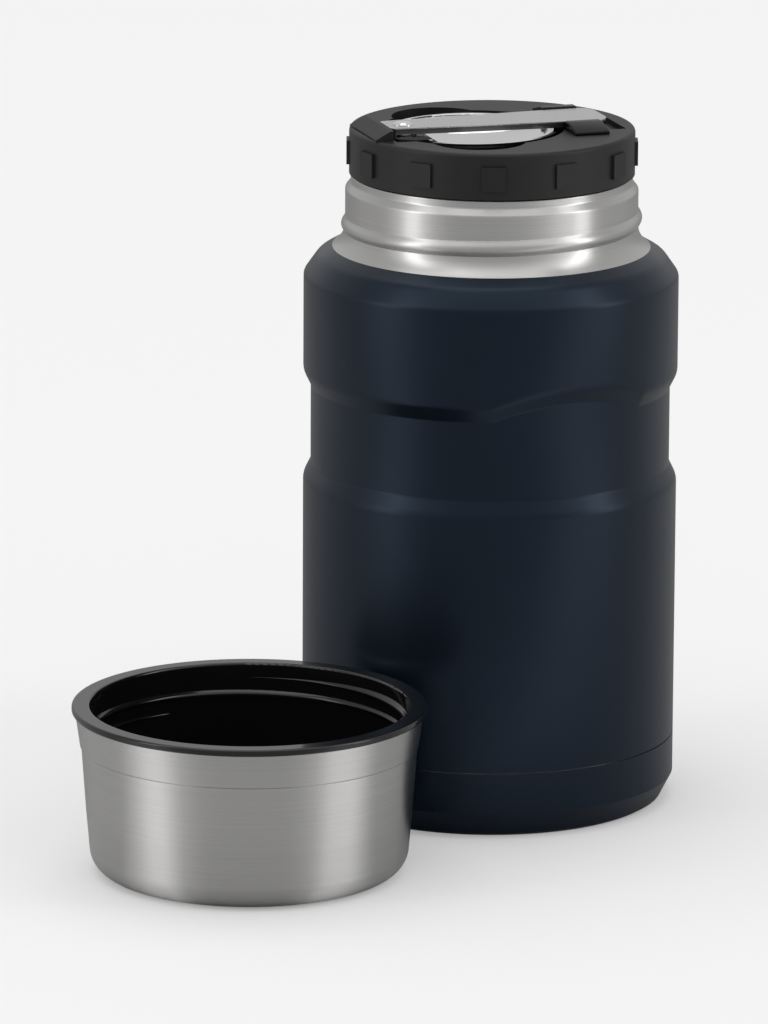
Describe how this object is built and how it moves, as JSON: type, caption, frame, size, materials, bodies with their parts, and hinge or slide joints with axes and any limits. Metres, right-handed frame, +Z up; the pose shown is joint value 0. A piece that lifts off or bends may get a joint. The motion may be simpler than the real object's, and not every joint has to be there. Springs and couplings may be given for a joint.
{
  "type": "insulated food jar",
  "caption": "Insulated steel food jar with a screw stopper, a folding spoon kept on the stopper, and a steel serving bowl that screws on as the lid.",
  "frame": {"origin": "centre of the jar's base, on the surface it stands on", "axes": "+Z up along the jar's axis; the picture was taken from the -Y side, with +X to its right"},
  "size_m": [0.1593, 0.1743, 0.185],
  "materials": {
    "navy_paint": "satin powder coat",
    "bare_steel": "fine brushed",
    "polished_steel": "mirror polished",
    "satin_steel": "satin",
    "black_plastic": "satin moulded",
    "glossy_black_plastic": "glossy moulded",
    "silicone": "soft matte",
    "foam": "closed-cell foam",
    "foil": "bright foil",
    "solder": "dull"
  },
  "bodies": {
    "jar": {"outer_shell": "navy_paint", "base_cap": "navy_paint", "outer_bottom": "bare_steel", "vacuum_seal": "solder", "inner_vessel": "bare_steel", "inner_bottom": "bare_steel", "getter": "solder", "reflector_foil": "foil"},
    "stopper_seal": {"seal_ring": "silicone"},
    "stopper": {"stopper_cover": "black_plastic", "spoon_tray": "glossy_black_plastic", "spoon_clips": "glossy_black_plastic", "stopper_plug": "black_plastic", "stopper_foam": "foam"},
    "handle": {"spoon_handle": "satin_steel", "spoon_rivet": "polished_steel", "rivet_washer": "polished_steel"},
    "spoon": {"spoon_bowl": "polished_steel"},
    "lid_bowl": {"bowl_shell": "bare_steel", "bowl_liner": "glossy_black_plastic"}
  },
  "joints": [
    {"name": "stopper_rise", "type": "slide", "parent": "jar", "child": "stopper_seal", "axis": [0, 0, 1], "range_m": [0, 0.0211]},
    {"name": "stopper_turn", "type": "hinge", "parent": "stopper_seal", "child": "stopper", "pos_m": [0, 0, 0.17], "axis": [0, 0, 1], "range_deg": [0, 1260]},
    {"name": "spoon_lift", "type": "slide", "parent": "stopper", "child": "handle", "axis": [0, 0, 1], "range_m": [0, 0.2]},
    {"name": "spoon_unfold", "type": "hinge", "parent": "handle", "child": "spoon", "pos_m": [-0.02384, -0.00752, 0.1824], "axis": [0, 0, 1], "range_deg": [0, 180]},
    {"name": "bowl_lift", "type": "slide", "parent": "jar", "child": "lid_bowl", "axis": [0, 0, 1], "range_m": [0, 0.15]}
  ],
  "couplings": [
    {"joint": "stopper_rise", "follows": "stopper_turn", "m_per_rad": 0.00095493},
    {"joint": "spoon_unfold", "follows": "spoon_lift", "rad_per_m": 15.707}
  ]
}
